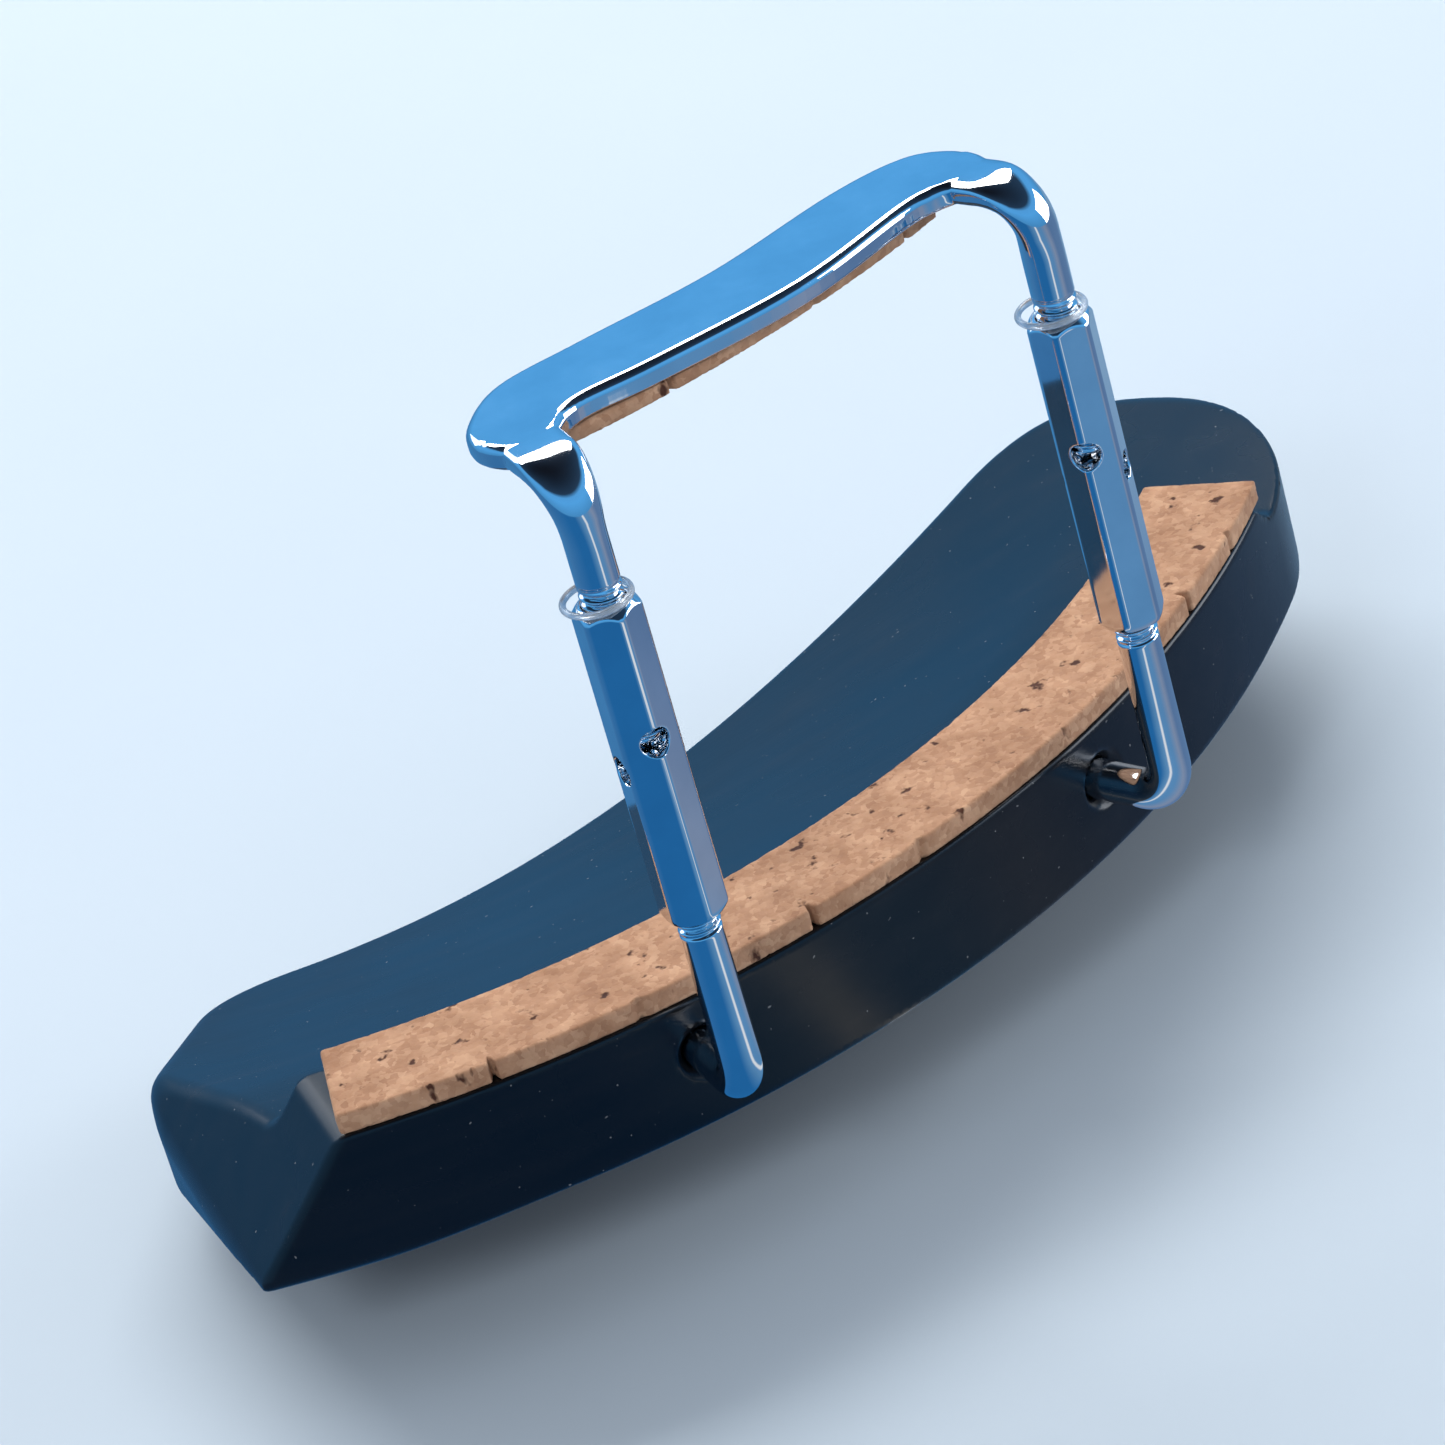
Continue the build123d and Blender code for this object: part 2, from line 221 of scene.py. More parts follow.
def net(field, low, high, step):
    """Quads around the zero level of a field: one point for each cell that the surface passes."""
    axes = [np.arange(a, b + step, step) for a, b in zip(low, high)]
    yy, zz = np.meshgrid(axes[1], axes[2], indexing="ij")
    values = np.empty([len(a) for a in axes], np.float32)
    for i, x in enumerate(axes[0]):
        slab = np.stack([np.full(yy.size, x), yy.ravel(), zz.ravel()], 1)
        values[i] = field(slab).reshape(yy.shape)
    solid = values < 0
    cells = tuple(n - 1 for n in values.shape)
    corners = [(a, b, c) for a in (0, 1) for b in (0, 1) for c in (0, 1)]
    count = np.zeros(cells, np.int8)
    for a, b, c in corners:
        count += solid[a:a + cells[0], b:b + cells[1], c:c + cells[2]]
    at = np.argwhere((count > 0) & (count < 8))
    index = np.full(cells, -1, np.int64)
    index[tuple(at.T)] = np.arange(len(at))
    # a cell's point is the mean of where the surface crosses the cell's edges
    total = np.zeros((len(at), 3))
    hits = np.zeros(len(at))
    for i, p in enumerate(corners):
        for q in corners[i + 1:]:
            if sum(abs(s - t) for s, t in zip(p, q)) != 1:
                continue
            vp = values[tuple((at + p).T)].astype(float)
            vq = values[tuple((at + q).T)].astype(float)
            cut = (vp < 0) != (vq < 0)
            t = np.where(cut, vp / np.where(cut, vp - vq, 1), 0)
            total += np.where(cut[:, None], np.array(p) + t[:, None] * (np.array(q) - p), 0)
            hits += cut
    points = np.array(low) + step * (at + total / hits[:, None])
    # a quad joins the four cells round each grid edge that the surface crosses
    quads = []
    for d in range(3):
        u, v = (d + 1) % 3, (d + 2) % 3
        first = [slice(None)] * 3
        second = [slice(None)] * 3
        first[d], second[d] = slice(0, -1), slice(1, None)
        a, b = solid[tuple(first)], solid[tuple(second)]
        edge = np.argwhere(a != b)
        edge = edge[(edge[:, u] > 0) & (edge[:, v] > 0) & (edge[:, u] < cells[u]) & (edge[:, v] < cells[v])]
        leaving = a[tuple(edge.T)]
        ring = []
        for du, dv in ((-1, -1), (0, -1), (0, 0), (-1, 0)):
            cell = edge.copy()
            cell[:, u] += du
            cell[:, v] += dv
            ring.append(index[tuple(cell.T)])
        ring = np.stack(ring, 1)
        quads.append(np.where(leaving[:, None], ring, ring[:, ::-1]))
    return points, np.concatenate(quads)


def gradient(field, points, reach):
    """The field's slope at each point, from its values at this reach on both sides."""
    slope = np.empty_like(points)
    for k in range(3):
        d = np.zeros(3)
        d[k] = reach
        slope[:, k] = (field(points + d) - field(points - d)) / (2 * reach)
    return slope


# Newton steps onto the surface, with lengths as shares of the net's step
NEWTON_STEPS = 4
NEWTON_REACH = 0.1
LONGEST_MOVE = 0.5
NORMAL_REACH = 0.25
FLATTEST = 1e-6
SMALL = 1e-9


def skin(field, low, high, step):
    """Points, quads and normals of a field's zero level."""
    points, quads = net(field, low, high, step)
    for _ in range(NEWTON_STEPS):
        slope = gradient(field, points, step * NEWTON_REACH)
        steepness = np.maximum((slope * slope).sum(1), FLATTEST)[:, None]
        move = field(points)[:, None] * slope / steepness
        size = np.linalg.norm(move, axis=1)[:, None]
        points = points - move * np.minimum(1, LONGEST_MOVE * step / np.maximum(size, SMALL))
    slope = gradient(field, points, step * NORMAL_REACH)
    return points, quads, slope / np.maximum(np.linalg.norm(slope, axis=1), SMALL)[:, None]


# ---------------------------------------------------------------- objects
def mesh_piece(name, shells, material, body, nodes):
    """One object from shells of (points, faces, normals or None), in the drafting frame."""
    points, faces, normals, base = [], [], [], 0
    for shell_points, shell_faces, shell_normals in shells:
        points.append(np.asarray(shell_points, float))
        faces += [[int(i) + base for i in face] for face in shell_faces]
        base += len(shell_points)
        normals.append(np.zeros((len(shell_points), 3)) if shell_normals is None else shell_normals)
    mesh = bpy.data.meshes.new(name)
    mesh.from_pydata(((np.concatenate(points) + SHIFT) * MM).tolist(), [], faces)
    mesh.polygons.foreach_set("use_smooth", [True] * len(mesh.polygons))
    mesh.update()
    # a zero normal leaves the mesh's own smooth normal
    mesh.normals_split_custom_set_from_vertices(np.concatenate(normals).tolist())
    mesh.materials.append(material)
    piece = bpy.data.objects.new(name, mesh)
    bpy.context.scene.collection.objects.link(piece)
    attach(piece, body)
    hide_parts(*nodes)
    return piece


def tube_shell(rings):
    """Closed skin over rings of points, all with the same count, that run in order along a rod."""
    rings = np.array(rings)
    rows, n = rings.shape[:2]
    points = rings.reshape(-1, 3)
    faces = []
    for i in range(rows - 1):
        for j in range(n):
            k = (j + 1) % n
            faces.append([i * n + j, i * n + k, (i + 1) * n + k, (i + 1) * n + j])
    faces.append(list(range(n))[::-1])
    faces.append([(rows - 1) * n + j for j in range(n)])
    return points, faces, None


# ---------------------------------------------------------------- chin plate
END_CENTRE = polar(WALL_R - FAR_END_R, FAR_END_A)
END_TIP = END_CENTRE + polar(FAR_END_R, END_TIP_A)
LEFT_CORNER = polar(WALL_R, LEFT_CORNER_A)

# roundings of its edges and fillets in its corners
LEFT_CORNER_ROUND = 0.3
RIDGE_ROUND = 5.0
RIM_FILLET = 1.5
RIM_ROUND = 1.2
DISH_ROUND = 2.5
RELIEF_ROUND = 3.0
FOOT_ROUND = 0.5
FOOT_END_ROUND = 0.8
FOOT_FILLET = 1.0
TOP_ROUND_AT_WALL = 0.4
TOP_ROUND_INSIDE = 2.0
TOP_ROUND_FROM_R = 82.0
TOP_ROUND_OVER = 10.0
SLANT_ROUND = 0.8
HOLE_ROUND = 0.2
COUNTERSINK_DEPTH = 0.75
COUNTERSINK_SLOPE = 0.9
COUNTERSINK_MOST = 2
# a little off the outline, to stay inside the CAD part's box
INSIDE_BOX = 0.02


def circle_through(p, q, s):
    """Centre and radius of the circle through three points."""
    lines = 2 * np.array([q - p, s - p])
    centre = np.linalg.solve(lines, np.array([q @ q - p @ p, s @ s - p @ p]))
    return centre, np.linalg.norm(p - centre)


def left_of(x, y, start, end):
    """Distance to the left of the line from start to end."""
    nx, ny = left_normal(start, end)
    return (x - start[0]) * nx + (y - start[1]) * ny


def unit(v):
    """The vector at length 1."""
    return v / np.linalg.norm(v)


def left_normal(start, end):
    """Unit vector to the left of the line from start to end."""
    along = unit(end - start)
    return np.array([-along[1], along[0]])


# the waisted inner edge is one arc; the cosines are between the normals on the two sides of each corner
WAIST_CENTRE, WAIST_R = circle_through(END_TIP, INNER_MIDDLE, INNER_LEFT)
TIP_COSINE = unit(WAIST_CENTRE - END_TIP) @ polar(1.0, END_TIP_A)
KNEE_COSINE = left_normal(INNER_LEFT, LEFT_KNEE) @ left_normal(LEFT_KNEE, LEFT_CORNER)
CORNER_COSINE = -unit(WAIST_CENTRE - INNER_LEFT) @ left_normal(INNER_LEFT, LEFT_KNEE)


def plate_plan(x, y):
    """Plan of the plate: the wall's arc, a round far end, a waisted inner edge and a short left end."""
    past_end = beyond(x, y, FAR_END_A) > 0
    from_end = np.hypot(x - END_CENTRE[0], y - END_CENTRE[1]) - FAR_END_R
    outer = np.where(past_end, from_end, np.hypot(x, y) - WALL_R)
    waist = WAIST_R - np.hypot(x - WAIST_CENTRE[0], y - WAIST_CENTRE[1])
    upper_left = -left_of(x, y, INNER_LEFT, LEFT_KNEE)
    lower_left = -left_of(x, y, LEFT_KNEE, LEFT_CORNER)
    left_end = both(upper_left, lower_left, KNEE_ROUND, KNEE_COSINE)
    inner = both(waist, left_end, INNER_CORNER_ROUND, CORNER_COSINE)
    at_tip = x > INNER_MIDDLE[0]
    corner_round = np.where(at_tip, END_TIP_ROUND, LEFT_CORNER_ROUND)
    return both(outer, inner, corner_round, np.where(at_tip, TIP_COSINE, 0.0))


RIM_R = WALL_R - RIM_W
RIDGE_R = WALL_R - RIDGE_V
FACE_SLOPE = RIDGE_DROP / (RIM_R - RIDGE_R)

# the dish is a round channel whose section is an arc from the rim to the ridge
DISH_CHORD = hypot(RIM_R - RIDGE_R, RIDGE_DROP)
DISH_R = (DISH_CHORD ** 2 / 4 + DISH_DEPTH ** 2) / (2 * DISH_DEPTH)
DISH_CENTRE_R = (RIM_R + RIDGE_R) / 2 - (DISH_DEPTH - DISH_R) * RIDGE_DROP / DISH_CHORD
DISH_CENTRE_Z = -RIDGE_DROP / 2 + (DISH_DEPTH - DISH_R) * (RIM_R - RIDGE_R) / DISH_CHORD

# the slanted left face: along its edge on the rim, and up its edge on the wall
SLANT_ALONG = np.array([-3.0, 14.8, 0.0])
SLANT_UP = np.array([8.4, 0.2, WALL_H])
SLANT_NORMAL = unit(np.cross(SLANT_ALONG, SLANT_UP))
SLANT_CORNER = np.array([*LEFT_CORNER, 0.0])


def plate_field(p):
    """The whole chin plate, with the holes for the posts' legs."""
    x, y, z = p.T
    r = np.hypot(x, y)
    # the chin face: a cone from the rim down to the ridge, and the dish in it
    slope = ((r - RIM_R) * FACE_SLOPE - z) / hypot(1, FACE_SLOPE)
    under = either(both(slope, -RIDGE_DROP - z, RIDGE_ROUND), -z, RIM_FILLET)
    a = np.radians(np.clip(np.degrees(np.arctan2(y, x)), *DISH_A))
    dish_x = DISH_CENTRE_R * np.cos(a)
    dish_y = DISH_CENTRE_R * np.sin(a)
    from_dish = np.sqrt((x - dish_x) ** 2 + (y - dish_y) ** 2 + (z - DISH_CENTRE_Z) ** 2)
    under = both(under, DISH_R - from_dish, DISH_ROUND)
    # the side towards the violin: a relief that falls away inwards, and the foot strip for the cork
    relief = (z - RELIEF_Z + RELIEF_SLOPE * (FOOT_R - r)) / hypot(1, RELIEF_SLOPE)
    upper = both(z - RELIEF_Z, relief, RELIEF_ROUND)
    foot_end = (beyond(x, y, FOOT_END_A) + z - RELIEF_Z) * sqrt(0.5)
    foot = both(both(FOOT_R - r, z - WALL_H, FOOT_ROUND), foot_end, FOOT_END_ROUND, sqrt(0.5))
    upper = either(upper, foot, FOOT_FILLET)
    body = both(plate_plan(x, y) + INSIDE_BOX, under, RIM_ROUND)
    softer = ramp((TOP_ROUND_FROM_R - r) / TOP_ROUND_OVER)
    body = both(body, upper, TOP_ROUND_AT_WALL + (TOP_ROUND_INSIDE - TOP_ROUND_AT_WALL) * softer)
    body = both(body, -((p - SLANT_CORNER) @ SLANT_NORMAL), SLANT_ROUND)
    for leg_a in (LEFT_A, RIGHT_A):
        along = x * cos(radians(leg_a)) + y * sin(radians(leg_a))
        off = np.hypot(beyond(x, y, leg_a), z - LEG_Z)
        in_mouth = np.clip(along - (WALL_R - COUNTERSINK_DEPTH), 0, COUNTERSINK_MOST)
        mouth = HOLE_R + COUNTERSINK_SLOPE * in_mouth
        body = both(body, np.minimum(mouth - off, along - HOLE_END_R), HOLE_ROUND)
    return body


# ---------------------------------------------------------------- corks
CORK_EDGE_ROUND = 0.2
CORK_SIDE_ROUND = 0.25
CORK_END_ROUND = 0.3
NICK_ROUND = 0.06

# roughness of the corks' surface: its depth and grain size in millimetres, and where noise makes a pit
GRAIN_DEPTH = 0.05
GRAIN_SIZE = 0.5
PIT_LEVEL = 0.38
PIT_DEPTH = 4
PIT_SHIFT = Vector((31, 7, 3))


def cork_field(box, nicks):
    """A cork strip between two radii, two directions and two heights, with a few nicks in its outer edge."""
    inner_r, outer_r, start_a, end_a, low_z, high_z = box

    def field(p):
        x, y, z = p.T
        r = np.hypot(x, y)
        sides = both(inner_r - r, r - outer_r, CORK_EDGE_ROUND)
        faces = both(low_z - z, z - high_z, CORK_EDGE_ROUND)
        ends = both(beyond(x, y, end_a), -beyond(x, y, start_a), CORK_EDGE_ROUND)
        body = both(both(sides, faces, CORK_SIDE_ROUND), ends, CORK_END_ROUND)
        for nick_a, nick_r, depth, width in nicks:
            in_cut = (r - nick_r + depth) / depth
            across = np.abs(beyond(x, y, nick_a)) - width * in_cut
            body = both(body, -np.maximum(across, nick_r - depth - r), NICK_ROUND)
        return body

    return field


def roughened(points, normals, seed):
    """Points moved in along their normals by noise, with a pit here and there."""
    out = points.copy()
    shift = Vector((seed, seed * 0.7, 0))
    for i, (p, n) in enumerate(zip(points, normals)):
        # two octaves of grain, and another noise for the pits
        q = Vector(p / GRAIN_SIZE) + shift
        level = noise.noise(q) + 0.5 * noise.noise(q * 2.3)
        pit = max(0.0, noise.noise(q * 0.9 + PIT_SHIFT) - PIT_LEVEL) * PIT_DEPTH
        out[i] = p - n * GRAIN_DEPTH * (0.5 + 0.5 * level + pit)
    return out


# ---------------------------------------------------------------- rods with real threads
AROUND = 40
ROWS_PER_TURN = 11
BEND_STEPS = 16
SHANK_ROWS = 12
ROOT_FLAT = 0.14
RIGHT_HANDED = 1
LEFT_HANDED = -1

# a thread's chamfered end: how far the thread stops short of it, then the chamfer's height and two radii
TIP_H = 0.35
CHAMFER_H = 0.12
CHAMFER_WIDE_R = 1.1
CHAMFER_END_R = 0.95

# the length over which a thread runs out into the plain rod
RUN_OUT = 0.35

# where a bracket leg's thread goes on up inside the leg: height over the thread's end, and radius
THREAD_IN_LEG = ((0.12, 1.3), (0.6, 1.2))

# gaps between a post's leg and its hole's end, and between its plain shank and the bend and the thread
LEG_END_GAP = 0.4
OVER_BEND = 0.4
UNDER_THREAD = 0.15

# distances from the arc's axis of the rings along a post's leg, up to its bend
POST_LEG_RINGS = (HOLE_END_R + LEG_END_GAP, 80.0, 83.0, 86.0, POST_R - POST_BEND_R)


def thread_depth(phase):
    """0 at the root and 1 at the crest of a vee thread with narrow flats."""
    t = np.abs((phase % 1.0) * 2 - 1)
    return np.clip((t - ROOT_FLAT) / (1 - 2 * ROOT_FLAT), 0, 1)


def plain_row(z, r):
    """A round row of a rod: its height, and its radius all round."""
    return z, np.full(AROUND, r)


def thread_rows(start_z, end_z, hand, start_fade, end_fade):
    """(height, radii) up a threaded length. Over each fade the thread runs out into the plain rod."""
    out = []
    turn = np.arange(AROUND) / AROUND
    rows = int((end_z - start_z) / THREAD_PITCH * ROWS_PER_TURN)
    for i in range(rows + 1):
        z = start_z + (end_z - start_z) * i / rows
        depth = thread_depth(z / THREAD_PITCH - hand * turn)
        r = THREAD_ROOT_R + (THREAD_R - THREAD_ROOT_R) * depth
        for fade, from_end in ((start_fade, z - start_z), (end_fade, end_z - z)):
            if fade and from_end < fade:
                share = from_end / fade
                r = np.minimum(ROD_R, r) * share + ROD_R * (1 - share)
        out.append((z, r))
    return out


def upright(rows, a, first_a):
    """Rings of points about a post's axis from rows of (height, radii). Each starts in direction first_a."""
    cx, cy = polar(POST_R, a)
    turn = radians(first_a) + 2 * pi * np.arange(AROUND) / AROUND
    return [np.stack([cx + r * np.cos(turn), cy + r * np.sin(turn), np.full(AROUND, z)], 1) for z, r in rows]


def post_shell(a):
    """The L-shaped post as one skin: leg, bend, plain shank and right-handed thread with a chamfered tip."""
    turn = 2 * pi * np.arange(AROUND) / AROUND
    outward = np.array([*polar(1.0, a), 0.0])
    side = np.array([-outward[1], outward[0], 0.0])
    up = np.array([0.0, 0.0, 1.0])
    stations = [(r, LEG_Z, 0.0) for r in POST_LEG_RINGS]
    for i in range(1, BEND_STEPS + 1):
        b = pi / 2 * i / BEND_STEPS
        r = POST_R - POST_BEND_R + POST_BEND_R * sin(b)
        stations.append((r, LEG_Z + POST_BEND_R - POST_BEND_R * cos(b), b))
    rings = []
    for r, z, b in stations:
        # the ring's second axis turns from up, on the leg, to inward, on the shank
        second = up * cos(b) - outward * sin(b)
        centre = outward * r + up * z
        rings.append(centre + ROD_R * (np.outer(np.cos(turn), side) + np.outer(np.sin(turn), second)))
    thread_z = BARREL_Z - EXPOSED_THREAD
    top_z = BARREL_Z + ROD_IN_BARREL
    shank = np.linspace(LEG_Z + POST_BEND_R + OVER_BEND, thread_z - UNDER_THREAD, SHANK_ROWS)
    rows = [plain_row(z, ROD_R) for z in shank]
    rows += thread_rows(thread_z, top_z - TIP_H, RIGHT_HANDED, RUN_OUT, 0)
    rows += [plain_row(top_z - CHAMFER_H, CHAMFER_WIDE_R), plain_row(top_z, CHAMFER_END_R)]
    # the upright's rings start at the same side as the bend's
    return tube_shell(rings + upright(rows, a, a + 90))


def leg_thread_shell(a):
    """The left-handed thread under a bracket leg, from inside the leg down into the barrel."""
    low_z = BARREL_TOP - ROD_IN_BARREL
    high_z = BARREL_TOP + EXPOSED_THREAD
    rows = [plain_row(low_z, CHAMFER_END_R), plain_row(low_z + CHAMFER_H, CHAMFER_WIDE_R)]
    rows += thread_rows(low_z + TIP_H, high_z, LEFT_HANDED, 0, RUN_OUT)
    rows += [plain_row(high_z + height, r) for height, r in THREAD_IN_LEG]
    return tube_shell(upright(rows, a, 0))


# ---------------------------------------------------------------- barrel
HEX_A = radians(30)
HEX_ROUND = 0.06
BEVEL_ROUND = 0.02
HEAD_ROUND = 0.1
FOOT_CONE_ROUND = 0.3
FACE_ROUND = 0.12
BORE_ROUND = 0.1
KEY_HOLE_ROUND = 0.16

# the turned ends: the cone's radius at the end face, then its normal's parts outwards and along the barrel
HEAD_CONE = (1.8, 0.8, 0.7)
FOOT_CONE = (1.95, 0.45, -0.55)


def cone(r, z, face_r, outwards, along):
    """Distance outside a cone with radius face_r at z = 0 and this normal."""
    return ((r - face_r) * outwards + z * along) / hypot(outwards, along)


def barrel_field(p):
    """Hexagonal barrel about its own axis, with a vertex towards +X and its foot at z = 0."""
    x, y, z = p.T
    wide_x, wide_y = np.abs(x), np.abs(y)
    slanted_flats = cos(HEX_A) * wide_x + sin(HEX_A) * wide_y - BARREL_FLAT_R
    hexagon = both(slanted_flats, wide_y - BARREL_FLAT_R, HEX_ROUND)
    # a narrow bevel down each of the six corners
    slanted_bevels = cos(HEX_A) * wide_y + sin(HEX_A) * wide_x - BARREL_BEVEL_R
    bevels = both(wide_x - BARREL_BEVEL_R, slanted_bevels, BEVEL_ROUND)
    body = both(hexagon, bevels, HEX_ROUND)
    r = np.hypot(x, y)
    body = both(body, cone(r, z - BARREL_L, *HEAD_CONE), HEAD_ROUND)
    body = both(body, cone(r, z, *FOOT_CONE), FOOT_CONE_ROUND)
    body = both(body, np.maximum(z - BARREL_L, -z), FACE_ROUND)
    body = both(body, BARREL_BORE_R - r, BORE_ROUND)
    for across, drop in zip((y, x), KEY_HOLE_DROPS):
        body = both(body, KEY_HOLE_R - np.hypot(across, z - BARREL_L + drop), KEY_HOLE_ROUND)
    return body


# ---------------------------------------------------------------- ring
RING_ROWS = 72
RING_AROUND = 18
RING_OVER_BARREL = 0.05
RING_WAVE = 0.02
RING_INSET = 0.03
RING_FLATTER = 0.93
RING_SWELL = 0.05


def ring_shell(a, start):
    """A loose plastic ring with a slightly flattened section that waves a little, from this start angle."""
    cx, cy = polar(POST_R, a)
    cx -= RING_SHIFT
    cz = BARREL_TOP + RING_OVER_BARREL + RING_WIRE_R
    points = []
    for i in range(RING_ROWS):
        u = 2 * pi * i / RING_ROWS
        main_r = RING_R + RING_WAVE * sin(2 * u + start)
        half_h = RING_WIRE_R * (RING_FLATTER + RING_SWELL * sin(3 * u + start))
        for j in range(RING_AROUND):
            v = 2 * pi * j / RING_AROUND
            r = main_r + (RING_WIRE_R - RING_INSET) * cos(v)
            points.append((cx + r * cos(u), cy + r * sin(u), cz + half_h * sin(v)))
    faces = []
    for i in range(RING_ROWS):
        for j in range(RING_AROUND):
            this_row, next_row = i * RING_AROUND, (i + 1) % RING_ROWS * RING_AROUND
            m = (j + 1) % RING_AROUND
            faces.append([this_row + j, next_row + j, next_row + m, this_row + m])
    return points, faces, None


# ---------------------------------------------------------------- bracket
# the foot's outline: (radius, direction) of points that a smooth curve goes through
BRACKET_EDGE = [
    (80.8, -75.1), (77.7, -72.5), (77.2, -67.5), (77.9, -60.0), (78.3, -52.0), (80.3, -48.0),
    (83.4, -46.75), (86.2, -47.1), (86.7, -48.5), (86.0, -50.4), (85.4, -52.2), (85.8, -59.0),
    (84.9, -66.5), (84.6, -70.5), (86.0, -72.2), (86.6, -73.6), (86.0, -75.0), (83.8, -75.7),
]
EDGE_PARTS = 8
PLAN_CELL = 0.1
BRACKET_TOP_ROUND = 0.8
BRACKET_UNDER_ROUND = 0.45
LEG_FILLET = 0.4
LEG_IN_FOOT = 3.4
LEG_ROOT_ROUND = 0.3
LEG_END_ROUND = 0.12

# how a leg's section changes from flat and square to round: run along the leg at the start, then the lengths
TAPER_FROM = 0.3
WIDTH_TAPER = 6.4
THICKNESS_TAPER = 6.8
SQUARE_FROM = -0.6
SQUARE_TAPER = 3.2
SQUARE_POWER = 3.8
ROUND_POWER = 2.0
bracket_outline = curve_through([polar(r, a) for r, a in BRACKET_EDGE], EDGE_PARTS)
bracket_plan = plan_field(bracket_outline, PLAN_CELL)


def leg_field(p, a):
    """A forged leg: flat at its root, bent down and drawn to a round shank."""
    x, y, z = p.T
    along = x * cos(radians(a)) + y * sin(radians(a))
    side = beyond(x, y, a)
    # off is the distance from the leg's middle line across the bend, and run the distance along it
    bend_z = LEG_CENTRE_Z - LEG_BEND_R
    past = along - LEG_START_R
    flat = past <= 0
    on_arc = (past > 0) & (z > bend_z)
    arc_r = np.hypot(past, z - bend_z)
    arc_a = np.arctan2(np.maximum(past, SMALL), np.maximum(z - bend_z, SMALL))
    off = np.where(flat, z - LEG_CENTRE_Z, np.where(on_arc, arc_r - LEG_BEND_R, along - POST_R))
    down_shank = LEG_BEND_R * pi / 2 + bend_z - z
    run = np.where(flat, past, np.where(on_arc, LEG_BEND_R * arc_a, down_shank))
    half = BRACKET_T / 2
    wide = LEG_HALF_W + (ROD_R - LEG_HALF_W) * ramp((run - TAPER_FROM) / WIDTH_TAPER)
    thick = half + (ROD_R - half) * ramp((run - TAPER_FROM) / THICKNESS_TAPER)
    power = SQUARE_POWER + (ROUND_POWER - SQUARE_POWER) * ramp((run - SQUARE_FROM) / SQUARE_TAPER)
    level = (np.abs(side / wide) ** power + np.abs(off / thick) ** power + SMALL) ** (1 / power)
    body = (level - 1) * np.minimum(wide, thick)
    body = both(body, BARREL_TOP + EXPOSED_THREAD - z, LEG_END_ROUND)
    return both(body, -LEG_IN_FOOT - past, LEG_ROOT_ROUND)


def bracket_field(p):
    """The foot and its two legs in one piece."""
    x, y, z = p.T
    above = z - BRACKET_Z - BRACKET_T
    foot = both(bracket_plan(x, y), above, BRACKET_TOP_ROUND)
    foot = both(foot, BRACKET_Z - z, BRACKET_UNDER_ROUND)
    legs = np.minimum(leg_field(p, LEFT_A), leg_field(p, RIGHT_A))
    # the fillets stay under the foot's flat top
    return np.maximum(either(foot, legs, LEG_FILLET), above)


# ---------------------------------------------------------------- materials
# Texture scales are per metre, and a bump's distance is in metres.


def new_material(name):
    """A material with its nodes, links, texture coordinates and shader."""
    material = bpy.data.materials.new(name)
    material.use_nodes = True
    nodes = material.node_tree.nodes
    coords = nodes.new("ShaderNodeTexCoord")
    return material, nodes, material.node_tree.links, coords, nodes["Principled BSDF"]


def noise_node(nodes, links, coords, scale, detail, stretch=(1, 1, 1), rough=0.55):
    """Noise, drawn out along an axis where its stretch is under 1."""
    mapping = nodes.new("ShaderNodeMapping")
    mapping.inputs["Scale"].default_value = stretch
    links.new(coords.outputs["Object"], mapping.inputs["Vector"])
    texture = nodes.new("ShaderNodeTexNoise")
    texture.inputs["Scale"].default_value = scale
    texture.inputs["Detail"].default_value = detail
    texture.inputs["Roughness"].default_value = rough
    links.new(mapping.outputs["Vector"], texture.inputs["Vector"])
    return texture


def map_range(nodes, links, source, before, after):
    """The source, stretched from one (low, high) to another."""
    node = nodes.new("ShaderNodeMapRange")
    node.inputs["From Min"].default_value, node.inputs["From Max"].default_value = before
    node.inputs["To Min"].default_value, node.inputs["To Max"].default_value = after
    links.new(source, node.inputs["Value"])
    return node.outputs["Result"]


def colour_ramp(nodes, links, source, stops):
    """Colours by the source's value, from a list of (value, colour)."""
    node = nodes.new("ShaderNodeValToRGB")
    elements = node.color_ramp.elements
    while len(elements) < len(stops):
        elements.new(0.5)
    for element, (place, colour) in zip(elements, stops):
        element.position = place
        element.color = (*colour, 1)
    links.new(source, node.inputs["Fac"])
    return node.outputs["Color"]


def mixed(nodes, links, way, a, b):
    """Two colours added or multiplied."""
    node = nodes.new("ShaderNodeMix")
    node.data_type = "RGBA"
    node.blend_type = way
    node.inputs["Factor"].default_value = 1.0
    links.new(a, node.inputs["A"])
    links.new(b, node.inputs["B"])
    return node.outputs["Result"]


def bump_node(nodes, links, heights, strength, distance):
    """Bump from a list of (output, weight), added up."""
    total = None
    for output, weight in heights:
        part = nodes.new("ShaderNodeMath")
        part.operation = "MULTIPLY"
        part.inputs[1].default_value = weight
        links.new(output, part.inputs[0])
        if total is None:
            total = part.outputs[0]
        else:
            add = nodes.new("ShaderNodeMath")
            add.operation = "ADD"
            links.new(total, add.inputs[0])
            links.new(part.outputs[0], add.inputs[1])
            total = add.outputs[0]
    bump = nodes.new("ShaderNodeBump")
    bump.inputs["Strength"].default_value = strength
    bump.inputs["Distance"].default_value = distance
    links.new(total, bump.inputs["Height"])
    return bump.outputs["Normal"]


